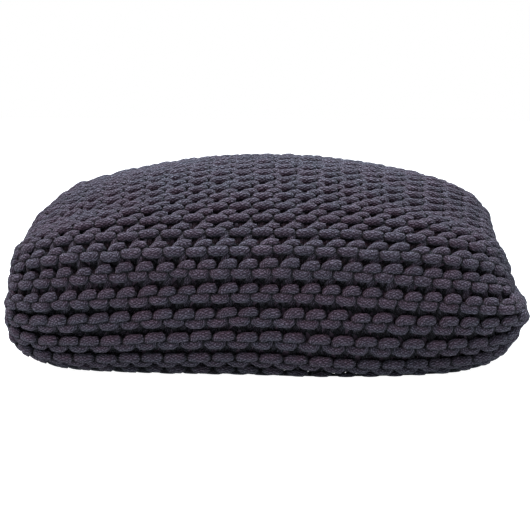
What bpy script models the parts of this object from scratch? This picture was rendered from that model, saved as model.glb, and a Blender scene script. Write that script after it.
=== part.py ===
"""Knitted floor pouf: one filled solid, its garter ridges raised in the surface.

The cover is a long knitted band wrapped round the filling from front to back.  Its rows run
left to right, and their ends are sewn together along the middle of the two side faces.
Metres, +Z up.  The origin is on the floor, under the middle of the pouf, and the front is -Y.
"""

import math

import bmesh
import bpy
import numpy as np

# Overall size, over the ridges.
HALF_DEPTH = 0.300        # middle of the pouf to its front and to its back
HALF_WIDTH = 0.300        # middle of the pouf to the middle of a side face
HEIGHT = 0.2370           # floor to the top of the crown
WIDEST_HEIGHT = 0.130     # floor to where the front and the back bulge furthest

# The loop round the middle, front to back: a domed top, a tucked-under lower edge, a flat base.
CROWN_ROUNDNESS = 1.80    # exponent of the upper curve in depth: low is domed, high is flat
FRONT_ROUNDNESS = 1.95    # exponent of the upper curve in height
EDGE_ROUNDNESS = 3.60     # exponent of the curve from the widest line down to the floor
HALF_BASE = 0.174         # middle of the pouf to where the lower edge lifts off the floor
SETTLE = 0.010            # how far the filling's weight presses the base flat

# The side seams.
SEAM_HEIGHT = 0.098       # floor to a seam
SEAM_HALF_LENGTH = 0.238  # middle of a side face to the end of its seam
CORNER_PULL = 0.006       # how far the ends of a seam are drawn in from its middle
CORNER_PULL_POWER = 4     # the higher, the closer to its ends the seam begins to draw in
SEAM_DRAW = 0.005         # depth of the valley that the sewing draws in
SEAM_VALLEY = 0.013       # half the width of that valley
SEAM_GAP = 0.0015         # half the height of the sewn slot between the row ends

# How a row runs from the middle of the pouf to its sewn end.
# "place" is how far round the loop the row is: 0 crown, 1 seam height, 2 middle of the base.
ROW_SHAPES = (
    {"place": 0.00, "roundness": 2.42},
    {"place": 0.50, "roundness": 2.38},
    {"place": 1.05, "roundness": 7.20},
    {"place": 1.45, "roundness": 4.00},
    {"place": 2.00, "roundness": 3.40},
)
PLAN_ROUNDNESS = 2.5      # the same for the row's path seen from above
ROW_SAG = 0.021           # how far a row slips down the loop towards its ends
ROW_SAG_POWER = 1.62

# Soft lumps of the filling at the two ends: outward reach at a height, faded over a height.
LUMP_POWER = 4            # the higher, the closer to the ends the lumps begin
END_LUMPS = (
    {"side": -1, "height": 0.070, "spread": 0.035, "reach": 0.0030},
    {"side": -1, "height": 0.135, "spread": 0.030, "reach": -0.0030},
    {"side": -1, "height": 0.205, "spread": 0.030, "reach": 0.0040},
    {"side": 1, "height": 0.070, "spread": 0.023, "reach": 0.0165},
    {"side": 1, "height": 0.135, "spread": 0.040, "reach": -0.0120},
    {"side": 1, "height": 0.195, "spread": 0.030, "reach": 0.0075},
)

# The knitting.
RIDGES = 52               # garter ridges in the whole loop
RIDGE_DEPTH = 0.009       # crest of a ridge to the bottom of the groove beside it
FIRST_GROOVE = 0.2647     # crown to one groove of the upper front, along the loop
RIDGE_PROFILE = (0.0, 0.80, 1.0, 0.80)   # heights from groove to groove, as parts of the depth
SEAM_FADE = 0.12          # part of half a row over which the ridges flatten into the seam
FLOOR_FADE = 0.022        # height over which the ridges grow out of the flat base
STEPS_ACROSS = 28         # even steps of the mesh along a row

CURVE_STEPS = 240         # fine steps on a curve before it is divided evenly
FLAT = 1e-7               # a point lower than this lies on the floor
SHARP_ANGLE = math.radians(70)

COTTON_COLOUR = (0.036, 0.034, 0.046, 1.0)
COTTON_ROUGHNESS = 0.92


def remove_all_objects():
    """Empty the scene."""
    for thing in list(bpy.data.objects):
        bpy.data.objects.remove(thing, do_unlink=True)


def smooth_step(value):
    """0 below 0, 1 above 1, with a soft start and end between."""
    value = np.clip(value, 0.0, 1.0)
    return value * value * (3.0 - 2.0 * value)


def middle_loop():
    """Front half of the loop round the middle, crown to middle of the base, not yet settled.

    Returns y, z and the length from the crown at each fine step, and the length from the
    crown to the height of the seams.
    """
    turn = np.linspace(0.0, math.pi / 2, CURVE_STEPS)
    top_y = -HALF_DEPTH * np.sin(turn) ** (2 / CROWN_ROUNDNESS)
    top_z = WIDEST_HEIGHT + (HEIGHT - WIDEST_HEIGHT) * np.cos(turn) ** (2 / FRONT_ROUNDNESS)
    edge_y = -HALF_BASE - (HALF_DEPTH - HALF_BASE) * np.cos(turn) ** (2 / EDGE_ROUNDNESS)
    edge_z = WIDEST_HEIGHT - (WIDEST_HEIGHT + SETTLE) * np.sin(turn) ** (2 / EDGE_ROUNDNESS)
    base_y = np.linspace(-HALF_BASE, 0.0, CURVE_STEPS)
    y = np.concatenate([top_y, edge_y[1:], base_y[1:]])
    z = np.concatenate([top_z, edge_z[1:], np.full(CURVE_STEPS - 1, -SETTLE)])
    length = np.concatenate([[0.0], np.cumsum(np.hypot(np.diff(y), np.diff(z)))])
    to_seam = np.interp(-SEAM_HEIGHT, -z, length)
    return y, z, length, to_seam


LOOP_Y, LOOP_Z, LOOP_LENGTH, TO_SEAM = middle_loop()
HALF_LOOP = LOOP_LENGTH[-1]
RIDGE_PITCH = 2.0 * HALF_LOOP / RIDGES


def end_lump(side, height):
    """Outward reach of the filling's lumps at one end of the pouf, at each height."""
    reach = np.zeros_like(height)
    for lump in END_LUMPS:
        if lump["side"] == side:
            reach += lump["reach"] * np.exp(-(((height - lump["height"]) / lump["spread"]) ** 2))
    return reach


def row_roundness(place):
    """Exponent of a row's path at its place round the loop, eased between the table's rows."""
    for before, after in zip(ROW_SHAPES, ROW_SHAPES[1:]):
        if place <= after["place"]:
            eased = smooth_step((place - before["place"]) / (after["place"] - before["place"]))
            return before["roundness"] + (after["roundness"] - before["roundness"]) * eased
    return ROW_SHAPES[-1]["roundness"]


def half_row(along_loop, side, steps):
    """One row from the middle of the pouf to its sewn end, as evenly spaced points.

    along_loop is the row's length from the crown, positive down the front and negative down
    the back.  side is 1 for the right end and -1 for the left.
    """
    front = 1.0 if along_loop >= 0.0 else -1.0
    place = abs(along_loop)
    if place < TO_SEAM:
        seam_part = place / TO_SEAM
        shape_place = seam_part
    else:
        seam_part = (HALF_LOOP - place) / (HALF_LOOP - TO_SEAM)
        shape_place = 2.0 - seam_part
    roundness = row_roundness(shape_place)
    turn = np.linspace(0.0, math.pi / 2, CURVE_STEPS)
    out = np.sin(turn) ** (2 / roundness)
    drop = np.cos(turn) ** (2 / roundness)
    plan = np.maximum(1.0 - out ** PLAN_ROUNDNESS, 0.0) ** (1 / PLAN_ROUNDNESS)

    sag = ROW_SAG * math.sin(math.pi * place / HALF_LOOP) * out ** ROW_SAG_POWER
    on_loop = np.minimum(place + sag, HALF_LOOP)
    loop_y = np.interp(on_loop, LOOP_LENGTH, LOOP_Y)
    loop_z = np.interp(on_loop, LOOP_LENGTH, LOOP_Z)
    seam_y = -SEAM_HALF_LENGTH * seam_part
    seam_x = HALF_WIDTH - CORNER_PULL * seam_part ** CORNER_PULL_POWER

    y = front * (seam_y + (loop_y - seam_y) * plan)
    gap = SEAM_GAP if place < TO_SEAM else -SEAM_GAP
    z = loop_z * drop + (SEAM_HEIGHT + gap) * (1.0 - drop)
    x = seam_x * out + end_lump(side, z) * out ** LUMP_POWER
    step = np.sqrt(np.diff(x) ** 2 + np.diff(y) ** 2 + np.diff(z) ** 2)
    length = np.concatenate([[0.0], np.cumsum(step)])
    x = x - SEAM_DRAW * np.exp(-(((length[-1] - length) / SEAM_VALLEY) ** 2))

    even = np.linspace(0.0, length[-1], steps + 1)
    points = [np.interp(even, length, values) for values in (side * x, y, z)]
    return np.stack(points, axis=1)


def smooth_skin(places):
    """Grid of points of the unridged skin: a row for each place, left end to right end."""
    half_steps = STEPS_ACROSS // 2
    rows = []
    for place in places:
        left = half_row(place, -1, half_steps)
        right = half_row(place, 1, half_steps)
        rows.append(np.concatenate([left[::-1], right[1:]]))
    return np.array(rows)


def outward_normals(grid):
    """Unit normals of a grid that is closed round the loop and open from end to end."""
    round_loop = np.roll(grid, -1, axis=0) - np.roll(grid, 1, axis=0)
    along_row = np.gradient(grid, axis=1)
    normals = np.cross(round_loop, along_row)
    return normals / np.linalg.norm(normals, axis=2, keepdims=True)


def ridged_skin():
    """Grid of points of the knitted surface, resting flat on the floor."""
    samples = RIDGES * len(RIDGE_PROFILE)
    places = FIRST_GROOVE + np.arange(samples) * RIDGE_PITCH / len(RIDGE_PROFILE)
    places = (places + HALF_LOOP) % (2.0 * HALF_LOOP) - HALF_LOOP
    grid = smooth_skin(places)

    sunk = RIDGE_DEPTH * (1.0 - np.tile(RIDGE_PROFILE, RIDGES))[:, None]
    from_end = 1.0 - np.abs(np.linspace(-1.0, 1.0, STEPS_ACROSS + 1))[None, :]
    end_fade = smooth_step(from_end / SEAM_FADE)
    floor_fade = smooth_step(grid[:, :, 2] / FLOOR_FADE)
    sink = sunk * end_fade * floor_fade
    grid = grid - outward_normals(grid) * sink[:, :, None]
    grid[:, :, 2] = np.maximum(grid[:, :, 2], 0.0)
    middle = (grid.min(axis=(0, 1)) + grid.max(axis=(0, 1))) / 2
    grid[:, :, :2] -= middle[:2]
    return grid


def build_mesh(grid):
    """Closed mesh of the grid, with its row ends sewn shut and its base one flat face."""
    rows, columns = grid.shape[:2]
    bm = bmesh.new()
    verts = [[bm.verts.new(point) for point in row] for row in grid.tolist()]
    for i in range(rows):
        following = (i + 1) % rows
        for j in range(columns - 1):
            bm.faces.new((verts[i][j], verts[following][j], verts[following][j + 1], verts[i][j + 1]))
    left_end = bm.faces.new([row[0] for row in reversed(verts)])
    right_end = bm.faces.new([row[-1] for row in verts])
    bmesh.ops.triangulate(bm, faces=[left_end, right_end])

    base_faces = [face for face in bm.faces if max(vert.co.z for vert in face.verts) < FLAT]
    bmesh.ops.dissolve_faces(bm, faces=base_faces, use_verts=True)
    mesh = bpy.data.meshes.new("knit_pouf")
    bm.to_mesh(mesh)
    bm.free()
    mesh.shade_smooth()
    mesh.set_sharp_from_angle(angle=SHARP_ANGLE)
    return mesh


def cotton_material():
    """Matt anthracite cotton yarn."""
    material = bpy.data.materials.new("anthracite_cotton")
    material.use_nodes = True
    shader = material.node_tree.nodes["Principled BSDF"]
    shader.inputs["Base Color"].default_value = COTTON_COLOUR
    shader.inputs["Roughness"].default_value = COTTON_ROUGHNESS
    shader.inputs["Metallic"].default_value = 0.0
    return material


def main():
    """Build the pouf."""
    remove_all_objects()
    pouf = bpy.data.objects.new("knit_pouf", build_mesh(ridged_skin()))
    pouf.data.materials.append(cotton_material())
    bpy.context.scene.collection.objects.link(pouf)


main()
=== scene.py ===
# %% [markdown]
# # A knitted floor pouf, stitch by stitch
#
# The real thing is a cushion cover hand-knitted from cotton cord almost as thick as a finger,
# pulled tight over a firm filling.  Every row is knitted in garter stitch, which shows as deep
# horizontal ridges.  What the eye reads is not a pattern printed on a cushion but the cord
# itself: fat loops, the dark gaps between them and the braided grain along each loop.
#
# So the lesson builds the cord.  A formula for one stitch is laid over the pouf's own skin,
# row after row, and each row becomes one unbroken tube.  A displaced or bump-mapped cushion
# would be quicker, but its loops would never overlap and its grooves would have no depth.

# %% Load the frame
import math

import bpy
import numpy as np
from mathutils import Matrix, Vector


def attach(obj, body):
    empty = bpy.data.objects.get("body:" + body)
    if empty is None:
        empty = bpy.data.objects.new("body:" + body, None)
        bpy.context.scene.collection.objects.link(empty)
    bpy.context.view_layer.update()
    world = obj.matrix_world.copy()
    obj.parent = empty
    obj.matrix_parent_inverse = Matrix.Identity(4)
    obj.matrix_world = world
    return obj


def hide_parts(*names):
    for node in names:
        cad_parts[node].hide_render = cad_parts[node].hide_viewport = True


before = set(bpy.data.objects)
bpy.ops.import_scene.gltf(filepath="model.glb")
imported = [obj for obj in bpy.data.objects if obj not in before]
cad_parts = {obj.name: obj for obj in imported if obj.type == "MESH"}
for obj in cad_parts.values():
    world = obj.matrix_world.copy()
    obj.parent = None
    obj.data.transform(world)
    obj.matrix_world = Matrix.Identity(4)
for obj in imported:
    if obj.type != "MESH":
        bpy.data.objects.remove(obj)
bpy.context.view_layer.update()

# %% [markdown]
# ## The pouf's measures
#
# A maker would call it a 60 x 60 pouf.  The cover is one long band of knitting wrapped over the
# filling from the front edge, over the crown, down the back and underneath, then sewn shut at
# its two sides.  The same few measures shaped the solid, so the skin that the loops lie on is
# worked out again here from the same formulas.
#
# Two tables make the pouf a used one.  END_LUMPS are the large bulges at the ends, which the
# solid has too.  FILL_LUMPS are the small ones that loose filling leaves under a cover: each
# pushes the skin out, or lets it sink, by "reach" metres round the point "at".

# %% Measures
HALF_DEPTH = 0.300
HALF_WIDTH = 0.300
HEIGHT = 0.2370
WIDEST_HEIGHT = 0.130
CROWN_ROUNDNESS = 1.80
FRONT_ROUNDNESS = 1.95
EDGE_ROUNDNESS = 3.60
HALF_BASE = 0.174
SETTLE = 0.010

SEAM_HEIGHT = 0.098
SEAM_HALF_LENGTH = 0.238
CORNER_PULL = 0.006
CORNER_PULL_POWER = 4
SEAM_DRAW = 0.005
SEAM_VALLEY = 0.013
SEAM_GAP = 0.0015

ROW_SHAPES = (
    {"place": 0.00, "roundness": 2.42},
    {"place": 0.50, "roundness": 2.38},
    {"place": 1.05, "roundness": 7.20},
    {"place": 1.45, "roundness": 4.00},
    {"place": 2.00, "roundness": 3.40},
)
PLAN_ROUNDNESS = 2.5
ROW_SAG = 0.021
ROW_SAG_POWER = 1.62
LUMP_POWER = 4
END_LUMPS = (
    {"side": -1, "height": 0.070, "spread": 0.035, "reach": 0.0030},
    {"side": -1, "height": 0.135, "spread": 0.030, "reach": -0.0030},
    {"side": -1, "height": 0.205, "spread": 0.030, "reach": 0.0040},
    {"side": 1, "height": 0.070, "spread": 0.023, "reach": 0.0165},
    {"side": 1, "height": 0.135, "spread": 0.040, "reach": -0.0120},
    {"side": 1, "height": 0.195, "spread": 0.030, "reach": 0.0075},
)
FILL_LUMPS = (
    {"at": (0.225, -0.020, 0.188), "spread": 0.058, "reach": 0.0055},
    {"at": (0.295, -0.160, 0.118), "spread": 0.042, "reach": 0.0055},
    {"at": (0.280, -0.150, 0.150), "spread": 0.022, "reach": 0.0040},
    {"at": (0.285, -0.150, 0.015), "spread": 0.038, "reach": 0.0110},
    {"at": (0.305, -0.160, 0.056), "spread": 0.018, "reach": -0.0090},
    {"at": (0.100, 0.000, 0.235), "spread": 0.060, "reach": -0.0018},
    {"at": (0.100, -0.255, 0.020), "spread": 0.100, "reach": 0.0095},
    {"at": (0.020, 0.000, 0.237), "spread": 0.120, "reach": 0.0028},
    {"at": (0.000, 0.000, 0.250), "spread": 0.300, "reach": 0.0024},
    {"at": (-0.150, 0.000, 0.222), "spread": 0.060, "reach": -0.0040},
    {"at": (-0.235, 0.000, 0.205), "spread": 0.030, "reach": 0.0025},
    {"at": (-0.275, -0.080, 0.172), "spread": 0.030, "reach": 0.0030},
    {"at": (-0.290, -0.150, 0.150), "spread": 0.026, "reach": 0.0025},
    {"at": (-0.300, -0.160, 0.100), "spread": 0.026, "reach": 0.0035},
    {"at": (-0.300, -0.160, 0.050), "spread": 0.024, "reach": -0.0080},
    {"at": (-0.280, -0.150, 0.015), "spread": 0.030, "reach": -0.0035},
)
RIDGES = 52
FIRST_GROOVE = 0.2647
CURVE_STEPS = 240

# %% [markdown]
# ## The loop round the middle
#
# Cut the pouf in half from front to back and the cut face is a low dome on a tucked-under edge.
# Two superellipse quarters and a flat base draw its front half; the back mirrors it.  Measuring
# along this curve gives every knitted row its place, just as the rows follow one another
# round the real cover.

# %% Draw the middle loop
def smooth_step(value):
    """0 below 0, 1 above 1, with a soft start and end between: 3 v^2 - 2 v^3."""
    value = np.clip(value, 0.0, 1.0)
    return value * value * (3.0 - 2.0 * value)


def middle_loop():
    """Front half of the loop, crown to middle of the base: y, z, length from the crown.

    Each quarter is a superellipse: across = a sin^(2/r), up = b cos^(2/r) for a roundness r.
    """
    turn = np.linspace(0.0, math.pi / 2, CURVE_STEPS)
    top_y = -HALF_DEPTH * np.sin(turn) ** (2 / CROWN_ROUNDNESS)
    top_z = WIDEST_HEIGHT + (HEIGHT - WIDEST_HEIGHT) * np.cos(turn) ** (2 / FRONT_ROUNDNESS)
    edge_y = -HALF_BASE - (HALF_DEPTH - HALF_BASE) * np.cos(turn) ** (2 / EDGE_ROUNDNESS)
    edge_z = WIDEST_HEIGHT - (WIDEST_HEIGHT + SETTLE) * np.sin(turn) ** (2 / EDGE_ROUNDNESS)
    base_y = np.linspace(-HALF_BASE, 0.0, CURVE_STEPS)
    y = np.concatenate([top_y, edge_y[1:], base_y[1:]])
    z = np.concatenate([top_z, edge_z[1:], np.full(CURVE_STEPS - 1, -SETTLE)])
    length = np.concatenate([[0.0], np.cumsum(np.hypot(np.diff(y), np.diff(z)))])
    to_seam = np.interp(-SEAM_HEIGHT, -z, length)
    return y, z, length, to_seam


LOOP_Y, LOOP_Z, LOOP_LENGTH, TO_SEAM = middle_loop()
HALF_LOOP = LOOP_LENGTH[-1]
LOOP = 2.0 * HALF_LOOP
ROWS = 2 * RIDGES
ROW_HEIGHT = LOOP / ROWS
print(f"loop {LOOP:.3f} m, {ROWS} rows of {ROW_HEIGHT * 1000:.1f} mm")

# %% [markdown]
# ## The skin under the loops
#
# A knitted row leaves the middle loop, runs level across the pouf, curls over the shoulder and
# ends in the side seam.  The filling pushes a few soft lumps out at the two ends, and the rows
# slip a little down the front towards their ends.  The skin is kept as a fine grid of points
# and outward normals, so that any point of any stitch can be looked up on it.
#
# Every lump of the filling moves the grid along its own normals by reach exp(-(d / spread)^2),
# where d is the distance from the middle of the lump.

# %% Shape the skin
SKIN_ROWS = 416
SKIN_HALF_COLUMNS = 120
NORMAL_SMOOTHING = 6


def row_roundness(places):
    """Exponent of the rows' paths at their places, eased between the table's entries."""
    at = [entry["place"] for entry in ROW_SHAPES]
    value = [entry["roundness"] for entry in ROW_SHAPES]
    index = np.clip(np.searchsorted(at, places, side="left") - 1, 0, len(at) - 2)
    start, end = np.take(at, index), np.take(at, index + 1)
    low, high = np.take(value, index), np.take(value, index + 1)
    return low + (high - low) * smooth_step((places - start) / (end - start))


def half_rows(places, side):
    """Rows from the middle to the sewn end on one side, evenly spaced along their length."""
    front = np.where(places >= 0.0, 1.0, -1.0)[:, None]
    place = np.abs(places)[:, None]
    above = place < TO_SEAM
    seam_part = np.where(above, place / TO_SEAM, (HALF_LOOP - place) / (HALF_LOOP - TO_SEAM))
    roundness = row_roundness(np.where(above, seam_part, 2.0 - seam_part))
    turn = np.linspace(0.0, math.pi / 2, CURVE_STEPS)[None, :]
    out = np.sin(turn) ** (2 / roundness)
    drop = np.cos(turn) ** (2 / roundness)
    plan = np.maximum(1.0 - out ** PLAN_ROUNDNESS, 0.0) ** (1 / PLAN_ROUNDNESS)

    sag = ROW_SAG * np.sin(math.pi * place / HALF_LOOP) * out ** ROW_SAG_POWER
    on_loop = np.minimum(place + sag, HALF_LOOP)
    loop_y = np.interp(on_loop, LOOP_LENGTH, LOOP_Y)
    loop_z = np.interp(on_loop, LOOP_LENGTH, LOOP_Z)
    seam_y = -SEAM_HALF_LENGTH * seam_part
    seam_x = HALF_WIDTH - CORNER_PULL * seam_part ** CORNER_PULL_POWER

    y = front * (seam_y + (loop_y - seam_y) * plan)
    seam_z = SEAM_HEIGHT + np.where(above, SEAM_GAP, -SEAM_GAP)
    z = loop_z * drop + seam_z * (1.0 - drop)
    lump = sum(
        entry["reach"] * np.exp(-(((z - entry["height"]) / entry["spread"]) ** 2))
        for entry in END_LUMPS
        if entry["side"] == side
    )
    x = seam_x * out + lump * out ** LUMP_POWER
    step = np.sqrt(np.diff(x) ** 2 + np.diff(y) ** 2 + np.diff(z) ** 2)
    length = np.concatenate([np.zeros((len(places), 1)), np.cumsum(step, axis=1)], axis=1)
    x = x - SEAM_DRAW * np.exp(-(((length[:, -1:] - length) / SEAM_VALLEY) ** 2))

    rows = []
    for reach, row_x, row_y, row_z in zip(length, side * x, y, z):
        even = np.linspace(0.0, reach[-1], SKIN_HALF_COLUMNS + 1)
        rows.append([np.interp(even, reach, line) for line in (row_x, row_y, row_z)])
    return np.array(rows).transpose(0, 2, 1), length[:, -1]


def skin_grid():
    """Points and outward unit normals of the skin through the ridge crests."""
    even = -HALF_LOOP + np.arange(SKIN_ROWS) * LOOP / SKIN_ROWS
    left, left_length = half_rows(even, -1)
    right, right_length = half_rows(even, 1)
    grid = np.concatenate([left[:, ::-1], right[:, 1:]], axis=1)
    middle = (grid.min(axis=(0, 1)) + grid.max(axis=(0, 1))) / 2
    grid[:, :, :2] -= middle[:2]
    round_loop = np.roll(grid, -1, axis=0) - np.roll(grid, 1, axis=0)
    along_row = np.gradient(grid, axis=1)
    normals = np.cross(round_loop, along_row)
    normals /= np.linalg.norm(normals, axis=2, keepdims=True)
    from_heart = grid - np.array([0.0, 0.0, SEAM_HEIGHT])
    inward = (normals * from_heart).sum(axis=2, keepdims=True) < 0.0
    normals = np.where(inward, -normals, normals)
    for _ in range(NORMAL_SMOOTHING):
        normals += np.roll(normals, 1, axis=0) + np.roll(normals, -1, axis=0)
        padded = np.pad(normals, ((0, 0), (1, 1), (0, 0)), mode="edge")
        normals = padded[:, :-2] + padded[:, 1:-1] + padded[:, 2:]
        normals /= np.linalg.norm(normals, axis=2, keepdims=True)
    for entry in FILL_LUMPS:
        away = ((grid - np.array(entry["at"])) ** 2).sum(axis=2, keepdims=True)
        grid = grid + normals * entry["reach"] * np.exp(-away / entry["spread"] ** 2)
    return grid, normals, left_length + right_length


SKIN, SKIN_NORMALS, ROW_LENGTHS = skin_grid()
print("skin:", SKIN.shape, SKIN.min(axis=(0, 1)).round(4), SKIN.max(axis=(0, 1)).round(4))
print(f"row length {ROW_LENGTHS.min():.3f} m to {ROW_LENGTHS.max():.3f} m")


def blend_grid(values, loop_index, column):
    """Values of a grid between its points; the grid is closed round the loop."""
    i = np.floor(loop_index).astype(int)
    j = np.clip(np.floor(column).astype(int), 0, values.shape[1] - 2)
    fi = (loop_index - i)[..., None]
    fj = (column - j)[..., None]
    a, b = i % len(values), (i + 1) % len(values)
    low = values[a, j] * (1 - fj) + values[a, j + 1] * fj
    high = values[b, j] * (1 - fj) + values[b, j + 1] * fj
    return low * (1 - fi) + high * fi


def on_skin(course, wale):
    """Point and normal of the skin at a row number and a stitch number.

    Rows are counted up the front from the groove at FIRST_GROOVE, and stitches from the
    middle of the pouf, negative to the left.
    """
    even = FIRST_GROOVE + ROW_HEIGHT - (course - 0.5) * ROW_HEIGHT
    loop_index = (even + HALF_LOOP) / LOOP * SKIN_ROWS
    column = (np.clip(wale * 2 / STITCHES, -1.0, 1.0) + 1.0) * SKIN_HALF_COLUMNS
    point = blend_grid(SKIN, loop_index, column)
    normal = blend_grid(SKIN_NORMALS, loop_index, column)
    return point, normal / np.linalg.norm(normal, axis=-1, keepdims=True)


# %% [markdown]
# ## One stitch
#
# A knitted loop swings up to its head and down to its foot while it creeps along the row, and
# it leans out sideways at both so that it can hook round its neighbours.  In garter stitch one
# row has its feet in front and its heads behind, and the next has them the other way round.
# The heads of one row and the feet of the next therefore meet at the front and make a ridge,
# and between two ridges only the thin slanting legs show, deep in a dark groove.
#
# A cover pulled over a cushion doesn't look the same all round.  On the tight front the heads
# stand up and lean, and over the crown the rows hang as even, open curves.  STITCH_SHAPES says
# how, row by row, and UNEVEN how far the knitter's hand strays.

# %% Path of the cord
STITCHES = 28
CORD_RADIUS = 0.0057
LOOP_REACH = 0.90
LOOP_FLATNESS = 0.40
LOOP_DEPTH = 0.0090
SWING_HOLD = 0.5
LEG_THINNING = 0.28
LEG_THINNING_POWER = 8
LEG_RISE = 0.35
DENT_POWER = 3
END_DIVE = 0.003
END_DIVE_REACH = 0.5

# "course" is the row number.  "foot" and "head" are the sideways bulges and "lean" the sideways
# shift of the legs, in stitches; "slant" turns the heads over.  In metres, "sink" sets the heads
# back behind the feet, "dip" bends the middle of each foot inwards and "legs" lifts the legs.
# "flat" flattens the part of a loop that shows.  "turn" turns the feet over, and the legs of a
# purl row lean by PURL_LEAN of it.
STITCH_COLUMNS = ("course", "foot", "head", "slant", "sink", "dip", "legs", "lean", "flat", "turn")
STITCH_SHAPES = (
    (-14.0, 0.160, 0.175, 0.15, -0.0010, 0.0020, 0.0000, 0.09, 0.62, 0.18),
    (-11.0, 0.160, 0.175, 0.25, -0.0010, 0.0020, 0.0000, 0.09, 0.62, 0.18),
    (-8.5, 0.160, 0.170, 0.45, -0.0010, 0.0015, 0.0020, 0.10, 0.62, 0.18),
    (-5.0, 0.160, 0.165, 0.45, 0.0008, 0.0005, 0.0085, 0.16, 0.62, 0.18),
    (0.5, 0.165, 0.160, 0.45, 0.0015, 0.0005, 0.0105, 0.18, 0.62, 0.18),
    (4.0, 0.168, 0.140, 0.36, 0.0010, 0.0008, 0.0080, 0.14, 0.56, 0.13),
    (7.5, 0.170, 0.115, 0.15, 0.0008, 0.0015, 0.0030, 0.07, 0.40, 0.05),
    (11.0, 0.165, 0.100, 0.00, 0.0010, 0.0005, 0.0000, 0.02, 0.26, 0.00),
    (50.0, 0.160, 0.100, 0.00, 0.0010, 0.0005, 0.0000, 0.00, 0.26, 0.00),
)
PURL_TWIST = -0.12
KNIT_TWIST = 0.25
PURL_TILT = 0.0008
KNIT_TILT = 0.0028
BACK_BULGE = 0.22
PURL_LEAN = 0.5

# Seed and amount of each kind of unevenness: wale in stitches, course in rows, lift in metres
# and thickness as a share of the cord's own.
UNEVEN = {
    "wale": {"seed": 1, "amount": 0.032},
    "course": {"seed": 2, "amount": 0.055},
    "lift": {"seed": 3, "amount": 0.0004},
    "thickness": {"seed": 4, "amount": 0.03},
}


def shape_at(row, name):
    """One column of STITCH_SHAPES at some rows, in straight lines between the table's rows."""
    table = np.array(STITCH_SHAPES)
    return np.interp(row, table[:, 0], table[:, STITCH_COLUMNS.index(name)])


def uneven(row_numbers, kind, stitch):
    """Small hand-knitted differences: a random value at each foot and head, eased between."""
    seed, amount = UNEVEN[kind]["seed"], UNEVEN[kind]["amount"]
    values = np.array([
        np.random.default_rng([seed, row % ROWS]).normal(0.0, amount, 2 * STITCHES + 1)
        for row in row_numbers
    ])
    half_stitch = 2.0 * stitch + STITCHES
    index = np.clip(np.floor(half_stitch).astype(int), 0, 2 * STITCHES - 1)
    part = smooth_step(half_stitch - index)
    return values[:, index] * (1.0 - part) + values[:, index + 1] * part


def loop_plan(row_numbers, stitch, angle, purl, in_front):
    """Row number and stitch number of each point of the cord.

    course = row - reach c (1 + flatness (1 - c^2)) for c = cos(a - slant), and
    wale = stitch + bulge sin 2a - lean (cos a -+ 1).
    """
    row = row_numbers[:, None].astype(float)
    bulge = np.where(purl, shape_at(row, "foot"), shape_at(row, "head"))
    bulge = BACK_BULGE + (bulge - BACK_BULGE) * in_front
    lean = np.where(purl, PURL_LEAN * shape_at(row, "turn"), shape_at(row, "lean"))
    lean = lean * (np.cos(angle) + np.where(purl, -1.0, 1.0))
    wale = stitch + bulge * np.sin(2.0 * angle) - lean
    wale = wale + uneven(row_numbers, "wale", stitch)

    slant = np.where(purl, shape_at(row, "turn"), shape_at(row, "slant")) * in_front
    climb = np.cos(angle - slant)
    flatness = LOOP_FLATNESS + (shape_at(row, "flat") - LOOP_FLATNESS) * in_front
    course = row - LOOP_REACH * climb * (1.0 + flatness * (1.0 - climb ** 2))
    return course + uneven(row_numbers, "course", stitch), wale


def loop_lift(row_numbers, stitch, angle, purl, in_front):
    """Metres by which each point of the cord stands out from the middle of the fabric.

    It swings between the front and the back with t = cos(a + twist), as LOOP_DEPTH (hold
    sin(90 deg t) + (1 - hold) t).  The leg of a knit row that falls from its head is lifted
    into sight between the feet above it.
    """
    row = row_numbers[:, None].astype(float)
    facing = np.where(purl, 1.0, -1.0)
    turn = np.cos(angle + np.where(purl, PURL_TWIST, KNIT_TWIST))
    swing = SWING_HOLD * np.sin(math.pi / 2 * turn) + (1.0 - SWING_HOLD) * turn
    tilt = np.where(purl, PURL_TILT, -KNIT_TILT) * np.sin(angle)
    dent = np.where(purl, shape_at(row, "dip"), shape_at(row, "sink")) * in_front ** DENT_POWER
    lift = facing * LOOP_DEPTH * swing + tilt - dent
    falling = np.clip(-np.sin(angle), 0.0, 1.0) * np.clip(np.cos(angle) + LEG_RISE, 0.0, 2.0)
    lift = lift + np.where(purl, 0.0, shape_at(row, "legs")) * falling
    return lift + uneven(row_numbers, "lift", stitch)


def cord_path(row_numbers, steps):
    """Centre line, skin normal, radius and depth of the cord of some rows, one line a row.

    The angle a turns once a stitch, from foot to head and back to the next foot.  The cord is
    thinner on its legs, and it dives under the skin towards the two sewn ends.
    """
    stitch = np.linspace(-STITCHES / 2, STITCHES / 2, STITCHES * steps + 1)
    angle = 2.0 * math.pi * stitch[None, :]
    purl = (row_numbers % 2 == 1)[:, None]
    at_foot = (1.0 + np.cos(angle)) / 2
    in_front = np.where(purl, at_foot, 1.0 - at_foot)
    course, wale = loop_plan(row_numbers, stitch, angle, purl, in_front)
    lift = loop_lift(row_numbers, stitch, angle, purl, in_front)

    from_end = STITCHES / 2 - np.abs(stitch)
    dive = END_DIVE * (1.0 - smooth_step(from_end / END_DIVE_REACH))
    thickness = 1.0 - LEG_THINNING * np.sin(angle) ** LEG_THINNING_POWER
    radius = CORD_RADIUS * (thickness + uneven(row_numbers, "thickness", stitch))
    depth = LOOP_DEPTH + CORD_RADIUS + dive - lift
    point, normal = on_skin(course, wale)
    return point - normal * depth[..., None], normal, radius, depth


# %% [markdown]
# ## From path to cord
#
# Each path is wrapped in rings of points.  The rings stand square to the path and are turned
# so that they always start on the outer side, which keeps the braided grain running straight
# along the cord.  The cord's own coordinates, length along it and share of the way round it,
# are stored as its UV map.

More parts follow.
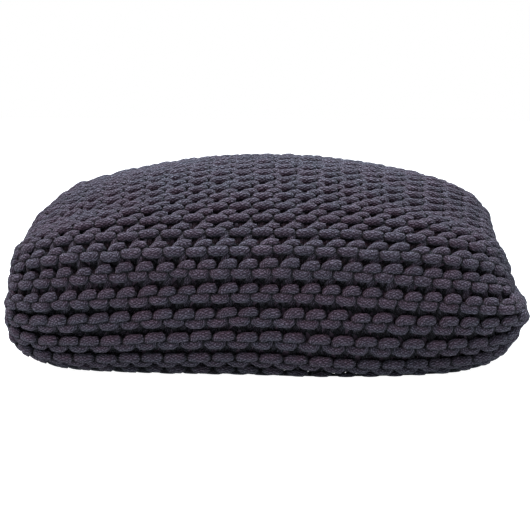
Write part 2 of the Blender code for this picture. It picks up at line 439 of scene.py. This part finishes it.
# %% Wrap the cord
FLOOR_SOFTNESS = 0.0022


def soft_floor(z):
    """Height pressed flat by the floor: a smooth bend between 0 and the height itself."""
    return FLOOR_SOFTNESS * np.logaddexp(0.0, z / FLOOR_SOFTNESS)


def unit(vectors):
    """The same directions with length 1."""
    return vectors / np.linalg.norm(vectors, axis=-1, keepdims=True)


def ring_points(centre, normal, radius, sides):
    """Rings of points round some lines: centre + radius (outward cos t + aside sin t)."""
    tangent = unit(np.gradient(centre, axis=1))
    aside = unit(np.cross(tangent, normal))
    outward = np.cross(aside, tangent)
    turn = np.arange(sides) * 2.0 * math.pi / sides
    ring = outward[:, :, None] * np.cos(turn)[:, None] + aside[:, :, None] * np.sin(turn)[:, None]
    points = centre[:, :, None] + ring * radius[:, :, None, None]
    points[..., 2] = soft_floor(points[..., 2])
    return points


def tube_quads(count, rings, sides):
    """Walls and closed ends of some tubes, as four point numbers a face."""
    number = np.arange(count * rings * sides).reshape(count, rings, sides)
    following = np.roll(number, -1, axis=2)
    corners = [number[:, :-1], following[:, :-1], following[:, 1:], number[:, 1:]]
    walls = np.stack(corners, axis=-1).reshape(-1, 4)
    low = np.arange(sides // 2 - 1)
    cap = np.stack([low, low + 1, sides - 2 - low, sides - 1 - low], axis=1)
    first = number[:, 0][:, cap][..., ::-1].reshape(-1, 4)
    last = number[:, -1][:, cap].reshape(-1, 4)
    return walls, np.concatenate([first, last])


def cord_coordinates(centre, sides, end_faces):
    """The UV map, face by face: metres along the cord and the part of the way round it."""
    step = np.linalg.norm(np.diff(centre, axis=1, prepend=centre[:, :1]), axis=2)
    shape = centre.shape[:2] + (sides,)
    along = np.broadcast_to(np.cumsum(step, axis=1)[:, :, None], shape)
    around = np.broadcast_to(np.arange(sides) / sides, shape)
    near = np.stack([along, around], axis=-1)
    far = np.stack([along, around + 1.0 / sides], axis=-1)
    walls = np.stack([near[:, :-1], far[:, :-1], far[:, 1:], near[:, 1:]], axis=3)
    return np.concatenate([walls.ravel(), np.zeros(end_faces * 8)])


# %% [markdown]
# ## Painted shade: how deep, and how close
#
# Between two cords that touch, and deep in the grooves, cotton looks almost black because
# little light gets in.  A renderer finds some of that by itself; the rest is painted shade.
# So two measured numbers are kept on every point of the cord for its material to read:
# "depth", the metres from the point out to the skin, and "gap", the metres from the point to
# the surface of the nearest other cord.  The material darkens the cord where the depth is
# great and where the gap is small.

# %% Measure the gaps
OWN_STITCH = 0.45


def open_width(points, lines, steps):
    """Metres of free space from each point of some tubes to the nearest other cord.

    The other cords are the rows just before and after, and the next stitches of the same row,
    more than OWN_STITCH away along it: gap = smallest distance to their lines - radius.
    """
    nearest = np.full(points.shape[:3], np.inf)
    ring = np.arange(points.shape[1])
    own = [shift for shift in range(-steps - 2, steps + 3) if abs(shift) > OWN_STITCH * steps]
    other = range(-steps // 2 - 2, steps // 2 + 3)
    for row_step, shifts in ((0, other), (1, own), (2, other)):
        rows = lines[row_step : row_step + len(points)]
        for shift in shifts:
            beside = rows[:, np.clip(ring + shift, 0, len(ring) - 1)]
            distance = np.linalg.norm(points - beside[:, :, None], axis=3)
            np.minimum(nearest, distance, out=nearest)
    return nearest - CORD_RADIUS


def keep_on(mesh, name, values):
    """Store one number a point on a mesh."""
    attribute = mesh.attributes.new(name, "FLOAT", "POINT")
    attribute.data.foreach_set("value", values.ravel().astype(np.float32))


def cord_object(name, path, points, gap):
    """A closed tube round every line of a path, with its depth, its gap and its UV map."""
    centre, _, radius, depth = path
    count, rings, sides = points.shape[:3]
    walls, ends = tube_quads(count, rings, sides)
    mesh = bpy.data.meshes.new(name)
    mesh.from_pydata(points.reshape(-1, 3), [], np.concatenate([walls, ends]))
    mesh.shade_smooth()
    outward_share = np.cos(np.arange(sides) * 2.0 * math.pi / sides)
    keep_on(mesh, "depth", depth[:, :, None] - radius[:, :, None] * outward_share)
    keep_on(mesh, "gap", gap)
    layer = mesh.uv_layers.new(name="cord")
    layer.data.foreach_set("uv", cord_coordinates(centre, sides, len(ends)).astype(np.float32))
    thing = bpy.data.objects.new(name, mesh)
    bpy.context.scene.collection.objects.link(thing)
    print(f"{name}: {count} lines, {2 * (len(walls) + len(ends))} triangles")
    return thing


# %% [markdown]
# ## Knitting all the rows
#
# The real cover is one piece.  Here its rows are made in six groups, from the front's lower
# edge up, over and round to the base.  The rows that face the eye get fine rings; the hidden
# ones make do with fewer.  Each group also works out one row more at either side, so that its
# gaps are right at the joins.

# %% Knit the rows
YARN_PIECES = (
    {"name": "cord_front_low", "first": -13, "rows": 12, "steps": 20, "sides": 12},
    {"name": "cord_front_high", "first": -1, "rows": 13, "steps": 20, "sides": 12},
    {"name": "cord_top_front", "first": 12, "rows": 19, "steps": 18, "sides": 10},
    {"name": "cord_top_back", "first": 31, "rows": 19, "steps": 14, "sides": 8},
    {"name": "cord_back", "first": 50, "rows": 21, "steps": 14, "sides": 8},
    {"name": "cord_base", "first": 71, "rows": 20, "steps": 12, "sides": 6},
)
yarn_pieces = []
for piece in YARN_PIECES:
    numbers = np.arange(piece["first"] - 1, piece["first"] + piece["rows"] + 1)
    wide_path = cord_path(numbers, piece["steps"])
    path = [values[1:-1] for values in wide_path]
    points = ring_points(*path[:3], piece["sides"])
    gap = open_width(points, wide_path[0], piece["steps"])
    yarn_pieces.append(cord_object(piece["name"], path, points, gap))

# %% [markdown]
# ## The side seams
#
# At each side the ends of the upper rows meet the ends of the lower ones, and the knitter has
# whipped them together with a thinner cord.  A helix drawn along the meeting line shows only
# the outer half of each turn, which is just how a whip stitch looks.

# %% Sew the sides
LACE_RADIUS = 0.0042
LACE_REACH = 0.0105
LACE_PITCH = 0.0185
LACE_BULGE = 0.0065
LACE_SINK = 0.0075
LACE_STEPS = 18
LACE_SIDES = 8
LACE_END = 0.004


def side_seam(side):
    """Centre line of the whip stitch: x and z turn round the seam while y runs along it."""
    turns = int(2.0 * SEAM_HALF_LENGTH / LACE_PITCH)
    part = np.linspace(-1.0, 1.0, turns * LACE_STEPS + 1)
    even = part * (TO_SEAM - LACE_END)
    loop_index = (even + HALF_LOOP) / LOOP * SKIN_ROWS
    column = np.full(len(part), (side + 1.0) * SKIN_HALF_COLUMNS)
    point = blend_grid(SKIN, loop_index, column)
    turn = part * turns * math.pi
    point[:, 0] += side * (LACE_BULGE * np.cos(turn) - LACE_SINK)
    point[:, 2] = SEAM_HEIGHT + LACE_REACH * np.sin(turn)
    normal = np.zeros_like(point)
    normal[:, 0] = side
    radius = depth = np.full((1, len(part)), LACE_RADIUS)
    return point[None], normal[None], radius, depth


for side, name in ((-1, "seam_lace_left"), (1, "seam_lace_right")):
    path = side_seam(side)
    points = ring_points(*path[:3], LACE_SIDES)
    yarn_pieces.append(cord_object(name, path, points, np.full(points.shape[:3], LACE_RADIUS)))

# %% [markdown]
# ## The filling
#
# Behind the loops sits the filling, drawn as a plain dark cushion.  It only shows at the bottom
# of the grooves, where its dark colour is painted shade, and it closes the pouf so that no
# light leaks through.

# %% Stuff the cushion
FILL_DEPTH = 0.0165
FILL_ROWS = 208
FILL_COLUMNS = 60


def filling_mesh():
    """The skin sunk under the loops, its row ends closed."""
    loop_index = np.arange(FILL_ROWS) * SKIN_ROWS / FILL_ROWS
    column = np.linspace(0.0, 2.0 * SKIN_HALF_COLUMNS, FILL_COLUMNS + 1)
    loop_index, column = np.meshgrid(loop_index, column, indexing="ij")
    points = blend_grid(SKIN, loop_index, column)
    normals = blend_grid(SKIN_NORMALS, loop_index, column)
    points = points - normals * FILL_DEPTH
    points[..., 2] = soft_floor(points[..., 2])
    number = np.arange(points[..., 0].size).reshape(points.shape[:2])
    following = np.roll(number, -1, axis=0)
    quads = np.stack(
        [number[:, :-1], following[:, :-1], following[:, 1:], number[:, 1:]], axis=-1
    ).reshape(-1, 4)
    faces = quads.tolist() + [number[::-1, 0].tolist(), number[:, -1].tolist()]
    mesh = bpy.data.meshes.new("filled_cushion")
    mesh.from_pydata(points.reshape(-1, 3).tolist(), [], faces)
    mesh.shade_smooth()
    return mesh


cushion = bpy.data.objects.new("filled_cushion", filling_mesh())
bpy.context.scene.collection.objects.link(cushion)

# %% [markdown]
# ## Braided cotton
#
# The cord is a soft cotton tube braided from a dozen fine yarns.  Up close its surface is a
# lattice of small grains, each one a yarn coming up between its neighbours, with a haze of
# loose fibre over them.  A node group draws the grains from the cord's own coordinates, so
# they follow every loop, and gives out their height and how light they look.

# %% Draw the grain
GRAINS_ROUND = 10.0
GRAIN_LENGTH = 0.0052
GRAIN_WANDER = 1.1
GRAIN_SHARPNESS = 0.6
GRAIN_LIGHT = 1.3
WANDER_SCALE = 260.0
FUZZ_SCALE = 520.0
FUZZ_HEIGHT = 0.9
FUZZ_LIGHT = 0.55


def add_math(nodes, links, operation, *values):
    """A Math node whose inputs are sockets or numbers; returns its output."""
    node = nodes.new("ShaderNodeMath")
    node.operation = operation
    for socket, value in zip(node.inputs, values):
        if isinstance(value, bpy.types.NodeSocket):
            links.new(value, socket)
        else:
            socket.default_value = value
    return node.outputs[0]


def add_noise(nodes, links, place, scale, detail, roughness):
    """A Noise Texture read at a place; returns the node."""
    noise = nodes.new("ShaderNodeTexNoise")
    noise.inputs["Scale"].default_value = scale
    noise.inputs["Detail"].default_value = detail
    noise.inputs["Roughness"].default_value = roughness
    links.new(place, noise.inputs["Vector"])
    return noise


def braid_group():
    """Node group: height and lightness of the braid from the cord's coordinates.

    Two families of diagonal lines cross: p = along + around, q = along - around.  A grain is
    (sin^2(pi p) sin^2(pi q))^GRAIN_SHARPNESS; slow noise bends the lines and fine noise
    roughens them.
    """
    group = bpy.data.node_groups.new("braided cotton grain", "ShaderNodeTree")
    face = group.interface
    face.new_socket("Cord", in_out="INPUT", socket_type="NodeSocketVector")
    face.new_socket("Place", in_out="INPUT", socket_type="NodeSocketVector")
    face.new_socket("Grains Round", in_out="INPUT", socket_type="NodeSocketFloat")
    face.new_socket("Grain Length", in_out="INPUT", socket_type="NodeSocketFloat")
    face.new_socket("Height", in_out="OUTPUT", socket_type="NodeSocketFloat")
    face.new_socket("Lightness", in_out="OUTPUT", socket_type="NodeSocketFloat")
    nodes, links = group.nodes, group.links
    inside = nodes.new("NodeGroupInput")
    outside = nodes.new("NodeGroupOutput")
    cord, place, round_count, length = inside.outputs[:4]

    stray = nodes.new("ShaderNodeSeparateColor")
    wander = add_noise(nodes, links, place, WANDER_SCALE, 1.0, 0.5)
    links.new(wander.outputs["Color"], stray.inputs[0])
    split = nodes.new("ShaderNodeSeparateXYZ")
    links.new(cord, split.inputs[0])
    along = add_math(nodes, links, "DIVIDE", split.outputs["X"], length)
    around = add_math(nodes, links, "MULTIPLY", split.outputs["Y"], round_count)
    along = add_math(nodes, links, "MULTIPLY_ADD", stray.outputs["Red"], GRAIN_WANDER, along)
    around = add_math(nodes, links, "MULTIPLY_ADD", stray.outputs["Green"], GRAIN_WANDER, around)
    waves = []
    for operation in ("ADD", "SUBTRACT"):
        diagonal = add_math(nodes, links, operation, along, around)
        angle = add_math(nodes, links, "MULTIPLY", diagonal, math.pi)
        wave = add_math(nodes, links, "SINE", angle)
        waves.append(add_math(nodes, links, "MULTIPLY", wave, wave))
    grain = add_math(nodes, links, "MULTIPLY", *waves)
    grain = add_math(nodes, links, "POWER", grain, GRAIN_SHARPNESS)

    fuzz = add_noise(nodes, links, place, FUZZ_SCALE, 3.0, 0.7).outputs["Fac"]
    height = add_math(nodes, links, "MULTIPLY_ADD", fuzz, FUZZ_HEIGHT, grain)
    links.new(height, outside.inputs["Height"])
    bright = add_math(nodes, links, "MULTIPLY", grain, fuzz)
    bright = add_math(nodes, links, "MULTIPLY", bright, GRAIN_LIGHT)
    lightness = add_math(nodes, links, "MULTIPLY_ADD", fuzz, FUZZ_LIGHT, bright)
    links.new(lightness, outside.inputs["Lightness"])
    return group


BRAID = braid_group()
print("node group:", BRAID.name, len(BRAID.nodes), "nodes")

# %% [markdown]
# ## The colour of the cord
#
# The cotton is dyed anthracite with a breath of violet, and no two stitches come out quite
# alike.  Each grain of the braid is paler than the cleft round it, and the dye drifts between
# violet and blue-grey from one ball of yarn to the next.  The crown is painted lighter and
# bluer: painted light for the cool light and sheen it catches from above.  The two numbers
# kept on the cord paint shade into the grooves and the creases.

# %% Dye the cord
COTTON_DARK = (0.011, 0.007, 0.012, 1.0)
COTTON_MIDDLE = (0.0390, 0.0293, 0.0418, 1.0)
COTTON_LIGHT = (0.118, 0.099, 0.130, 1.0)
TINT_VIOLET = (1.04, 0.97, 1.00, 1.0)
TINT_BLUE = (0.94, 1.02, 1.03, 1.0)
# Painted light: between these heights the crown is made lighter and bluer, standing in for light
# and sheen from above.
CROWN_PAINTED_LIGHT = (1.27, 1.44, 1.36, 1.0)
CROWN_LIGHT_START = 0.185
CROWN_LIGHT_END = 0.236
DRIFT_SCALE = 22.0
GRAIN_HEIGHT = 0.0014
# OPEN_DEPTH to CREASE_SHADE set the painted shade: darker where the cord lies deep and where it
# touches the next cord.
OPEN_DEPTH = 0.0042
DARK_DEPTH = 0.0130
GROOVE_SHADE = 0.50
SHUT_GAP = 0.0002
OPEN_GAP = 0.0020
CREASE_SHADE = 0.20


def add_ramp(nodes, links, factor, stops):
    """A Color Ramp with the given (position, colour) stops; returns its colour."""
    node = nodes.new("ShaderNodeValToRGB")
    ramp = node.color_ramp
    ramp.elements[0].position, ramp.elements[0].color = stops[0]
    ramp.elements[1].position, ramp.elements[1].color = stops[-1]
    for position, colour in stops[1:-1]:
        ramp.elements.new(position).color = colour
    links.new(factor, node.inputs["Fac"])
    return node.outputs["Color"]


def add_range(nodes, links, value, low, high, at_low, at_high):
    """A soft step from one number to another while a value goes from low to high."""
    node = nodes.new("ShaderNodeMapRange")
    node.interpolation_type = "SMOOTHSTEP"
    node.inputs["From Min"].default_value = low
    node.inputs["From Max"].default_value = high
    node.inputs["To Min"].default_value = at_low
    node.inputs["To Max"].default_value = at_high
    links.new(value, node.inputs["Value"])
    return node.outputs["Result"]


def multiply_colour(nodes, links, first, second, factor=1.0):
    """A Mix node that multiplies two colours; the second and the factor may be constants."""
    node = nodes.new("ShaderNodeMix")
    node.data_type = "RGBA"
    node.blend_type = "MULTIPLY"
    links.new(first, node.inputs["A"])
    for name, value in (("B", second), ("Factor", factor)):
        if isinstance(value, bpy.types.NodeSocket):
            links.new(value, node.inputs[name])
        else:
            node.inputs[name].default_value = value
    return node.outputs["Result"]


def attribute_value(nodes, name):
    """A number kept on the mesh."""
    node = nodes.new("ShaderNodeAttribute")
    node.attribute_name = name
    return node.outputs["Fac"]


def cord_material():
    """Anthracite cotton: grain, drifting dye, painted light on the crown, painted shade in grooves
    and creases.
    """
    material = bpy.data.materials.new("anthracite cotton cord")
    material.use_nodes = True
    nodes, links = material.node_tree.nodes, material.node_tree.links
    shader = nodes["Principled BSDF"]
    place = nodes.new("ShaderNodeTexCoord").outputs["Object"]
    cord_uv = nodes.new("ShaderNodeUVMap")
    cord_uv.uv_map = "cord"
    braid = nodes.new("ShaderNodeGroup")
    braid.node_tree = BRAID
    braid.inputs["Grains Round"].default_value = GRAINS_ROUND
    braid.inputs["Grain Length"].default_value = GRAIN_LENGTH
    links.new(cord_uv.outputs["UV"], braid.inputs["Cord"])
    links.new(place, braid.inputs["Place"])

    grain_stops = ((0.18, COTTON_DARK), (0.50, COTTON_MIDDLE), (0.85, COTTON_LIGHT))
    colour = add_ramp(nodes, links, braid.outputs["Lightness"], grain_stops)
    drift = add_noise(nodes, links, place, DRIFT_SCALE, 2.0, 0.5).outputs["Fac"]
    tint = add_ramp(nodes, links, drift, ((0.40, TINT_VIOLET), (0.60, TINT_BLUE)))
    colour = multiply_colour(nodes, links, colour, tint)
    split = nodes.new("ShaderNodeSeparateXYZ")
    links.new(place, split.inputs[0])
    # Painted light: the colour grows lighter and bluer towards the crown.
    crown = add_range(nodes, links, split.outputs["Z"], CROWN_LIGHT_START, CROWN_LIGHT_END, 0.0, 1.0)
    colour = multiply_colour(nodes, links, colour, CROWN_PAINTED_LIGHT, crown)

    # Painted shade from the depth and the gap, multiplied into the cord's colour.
    depth, gap = attribute_value(nodes, "depth"), attribute_value(nodes, "gap")
    groove = add_range(nodes, links, depth, OPEN_DEPTH, DARK_DEPTH, 1.0, GROOVE_SHADE)
    crease = add_range(nodes, links, gap, SHUT_GAP, OPEN_GAP, CREASE_SHADE, 1.0)
    shade = add_math(nodes, links, "MULTIPLY", groove, crease)
    colour = multiply_colour(nodes, links, colour, shade)
    links.new(colour, shader.inputs["Base Color"])

    bump = nodes.new("ShaderNodeBump")
    bump.inputs["Strength"].default_value = 1.0
    bump.inputs["Distance"].default_value = GRAIN_HEIGHT
    links.new(braid.outputs["Height"], bump.inputs["Height"])
    links.new(bump.outputs["Normal"], shader.inputs["Normal"])
    shader.inputs["Roughness"].default_value = 0.88
    shader.inputs["Specular IOR Level"].default_value = 0.25
    shader.inputs["Sheen Weight"].default_value = 0.06
    shader.inputs["Sheen Roughness"].default_value = 0.45
    shader.inputs["Sheen Tint"].default_value = (0.92, 0.92, 1.0, 1.0)
    return material


cotton = cord_material()
for thing in yarn_pieces:
    thing.data.materials.append(cotton)
    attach(thing, "root")
print(len(yarn_pieces), "pieces of yarn dyed")

# %% [markdown]
# ## The cloth of the filling
#
# The photograph doesn't show what holds the filling.  Here it gets a plain woven cloth, coloured
# dark as painted shade for the bottom of the grooves, where little light reaches.  Two crossed
# sets of fine waves stand for its threads; only their roughness can be seen, far down between
# the legs of the stitches.

# %% Cut the filling cloth
# Painted shade: the cloth's colours are dark to stand for the shaded bottom of the grooves.
CLOTH_DARK = (0.075, 0.050, 0.070, 1.0)
CLOTH_LIGHT = (0.150, 0.105, 0.140, 1.0)
THREADS_A_METRE = 900.0
THREAD_HEIGHT = 0.0004
THREAD_LIGHT = 0.3
MOTTLE_SCALE = 140.0


def filling_material():
    """Plain weave: height = sin^2(threads x) sin^2(threads z), mottled by noise."""
    material = bpy.data.materials.new("dark filling cloth")
    material.use_nodes = True
    nodes, links = material.node_tree.nodes, material.node_tree.links
    shader = nodes["Principled BSDF"]
    place = nodes.new("ShaderNodeTexCoord").outputs["Object"]
    split = nodes.new("ShaderNodeSeparateXYZ")
    links.new(place, split.inputs[0])
    waves = []
    for axis in ("X", "Z"):
        angle = add_math(nodes, links, "MULTIPLY", split.outputs[axis], math.pi * THREADS_A_METRE)
        wave = add_math(nodes, links, "SINE", angle)
        waves.append(add_math(nodes, links, "MULTIPLY", wave, wave))
    weave = add_math(nodes, links, "MULTIPLY", *waves)
    mottle = add_noise(nodes, links, place, MOTTLE_SCALE, 3.0, 0.6).outputs["Fac"]
    lightness = add_math(nodes, links, "MULTIPLY_ADD", weave, THREAD_LIGHT, mottle)
    colour = add_ramp(nodes, links, lightness, ((0.35, CLOTH_DARK), (0.85, CLOTH_LIGHT)))
    links.new(colour, shader.inputs["Base Color"])
    bump = nodes.new("ShaderNodeBump")
    bump.inputs["Distance"].default_value = THREAD_HEIGHT
    links.new(weave, bump.inputs["Height"])
    links.new(bump.outputs["Normal"], shader.inputs["Normal"])
    shader.inputs["Roughness"].default_value = 0.95
    return material


cushion.data.materials.append(filling_material())
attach(cushion, "root")
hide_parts("knit_pouf")
print("cushion:", len(cushion.data.polygons), "faces")

# %% [markdown]
# ## A sheet of paper
#
# The pouf stands on a wide sheet of white paper, and the camera sees it as white as the page,
# without a shadow, as in the photograph.  To do that the sheet glows by itself.  Its glow is
# full for the camera only; towards the knitting it is dimmer and a little cool, which keeps the
# undersides of the lowest rows dark.

# %% Lay the floor
FLOOR_HALF = 6.0
PAPER_SHADOW = (0.345, 0.345, 0.345, 1.0)
PAPER_LIGHT = (0.370, 0.370, 0.370, 1.0)
PAPER_GLOW = 0.64
PAPER_GLOW_COLOUR = (0.76, 0.94, 1.0, 1.0)
PAPER_SEEN_GLOW = 1.0
PAPER_SEEN_COLOUR = (1.0, 1.0, 1.0, 1.0)
PAPER_MOTTLE_SCALE = 18.0
TOOTH_SCALE = 900.0
TOOTH_HEIGHT = 0.0001


def paper_material():
    """White paper: a faint mottle and a fine tooth of pressed fibres."""
    material = bpy.data.materials.new("white paper")
    material.use_nodes = True
    nodes, links = material.node_tree.nodes, material.node_tree.links
    shader = nodes["Principled BSDF"]
    place = nodes.new("ShaderNodeTexCoord").outputs["Object"]
    mottle = add_noise(nodes, links, place, PAPER_MOTTLE_SCALE, 4.0, 0.6).outputs["Fac"]
    colour = add_ramp(nodes, links, mottle, ((0.3, PAPER_SHADOW), (0.7, PAPER_LIGHT)))
    links.new(colour, shader.inputs["Base Color"])
    tooth = add_noise(nodes, links, place, TOOTH_SCALE, 2.0, 0.5).outputs["Fac"]
    bump = nodes.new("ShaderNodeBump")
    bump.inputs["Distance"].default_value = TOOTH_HEIGHT
    links.new(tooth, bump.inputs["Height"])
    links.new(bump.outputs["Normal"], shader.inputs["Normal"])
    shader.inputs["Roughness"].default_value = 0.9
    seen = nodes.new("ShaderNodeLightPath").outputs["Is Camera Ray"]
    glow = add_range(nodes, links, seen, 0.0, 1.0, PAPER_GLOW, PAPER_SEEN_GLOW)
    glow_stops = ((0.0, PAPER_GLOW_COLOUR), (1.0, PAPER_SEEN_COLOUR))
    links.new(add_ramp(nodes, links, seen, glow_stops), shader.inputs["Emission Color"])
    links.new(glow, shader.inputs["Emission Strength"])
    return material


signs = ((-1, -1), (1, -1), (1, 1), (-1, 1))
floor_mesh = bpy.data.meshes.new("studio_floor")
floor_corners = [(x * FLOOR_HALF, y * FLOOR_HALF, 0.0) for x, y in signs]
floor_mesh.from_pydata(floor_corners, [], [(0, 1, 2, 3)])
floor_mesh.materials.append(paper_material())
floor = bpy.data.objects.new("studio_floor", floor_mesh)
bpy.context.scene.collection.objects.link(floor)
print("floor:", 2 * FLOOR_HALF, "m square")

# %% [markdown]
# ## The light
#
# A photographer's white room: a dim, faintly violet light from all round, a strong cool one
# through the ceiling, a rosy one in front and to the left, and windows low at both sides.
# The ceiling light picks out the top of each loop and leaves its belly dark.  The camera sees
# the sky as plain white.

# %% Light the studio
SKY_COLOUR = (0.92, 0.84, 1.0, 1.0)
SKY_STRENGTH = 0.21
SUNS = (
    {"name": "key", "azimuth": -42, "elevation": 50, "strength": 2.10, "spread": 25},
    {"name": "overhead", "azimuth": 175, "elevation": 77, "strength": 7.40, "spread": 50},
    {"name": "window", "azimuth": -105, "elevation": 25, "strength": 0.50, "spread": 50},
    {"name": "far_window", "azimuth": 105, "elevation": 25, "strength": 0.10, "spread": 50},
)
SUN_COLOURS = {
    "key": (1.0, 0.71, 0.80),
    "overhead": (0.82, 0.97, 1.05),
    "window": (0.70, 0.88, 1.0),
    "far_window": (0.70, 0.88, 1.0),
}

world = bpy.data.worlds.new("studio")
world.use_nodes = True
nodes, links = world.node_tree.nodes, world.node_tree.links
sky = nodes["Background"]
sky.inputs["Color"].default_value = SKY_COLOUR
sky.inputs["Strength"].default_value = SKY_STRENGTH
white = nodes.new("ShaderNodeBackground")
white.inputs["Color"].default_value = PAPER_SEEN_COLOUR
ray = nodes.new("ShaderNodeLightPath")
seen = nodes.new("ShaderNodeMixShader")
links.new(ray.outputs["Is Camera Ray"], seen.inputs[0])
links.new(sky.outputs[0], seen.inputs[1])
links.new(white.outputs[0], seen.inputs[2])
links.new(seen.outputs[0], nodes["World Output"].inputs["Surface"])
bpy.context.scene.world = world

for entry in SUNS:
    lamp = bpy.data.lights.new(entry["name"], "SUN")
    lamp.energy = entry["strength"]
    lamp.angle = math.radians(entry["spread"])
    lamp.color = SUN_COLOURS[entry["name"]]
    sun = bpy.data.objects.new(entry["name"], lamp)
    tilt = math.radians(90 - entry["elevation"])
    sun.rotation_euler = (tilt, 0.0, math.radians(entry["azimuth"]))
    bpy.context.scene.collection.objects.link(sun)
print(len(SUNS), "suns and a sky")

# %% [markdown]
# ## The camera
#
# A long lens a few metres away, a hand's breadth above the crown, looks almost level at the
# front.  Almost level is what folds the top rows together into thin stripes.

# %% Place the camera
CAMERA_PLACE = Vector((0.0525, -3.5005, 0.4463))
AIM = Vector((0.0, 0.0, 0.1))
LENS_MM = 192.8
SENSOR_MM = 36.0
SHIFT = (-0.0085, 0.0053)
ROLL_DEGREES = 0.25

camera_data = bpy.data.cameras.new("camera")
camera_data.sensor_width = SENSOR_MM
camera_data.lens = LENS_MM
camera_data.shift_x, camera_data.shift_y = SHIFT
camera = bpy.data.objects.new("camera", camera_data)
camera.location = CAMERA_PLACE
camera.rotation_euler = (AIM - CAMERA_PLACE).to_track_quat("-Z", "Y").to_euler()
camera.rotation_euler.rotate_axis("Z", math.radians(ROLL_DEGREES))
bpy.context.scene.collection.objects.link(camera)
bpy.context.scene.camera = camera
bpy.context.scene.view_settings.view_transform = "Standard"
print("camera", round((AIM - CAMERA_PLACE).length, 2), "m from the pouf")
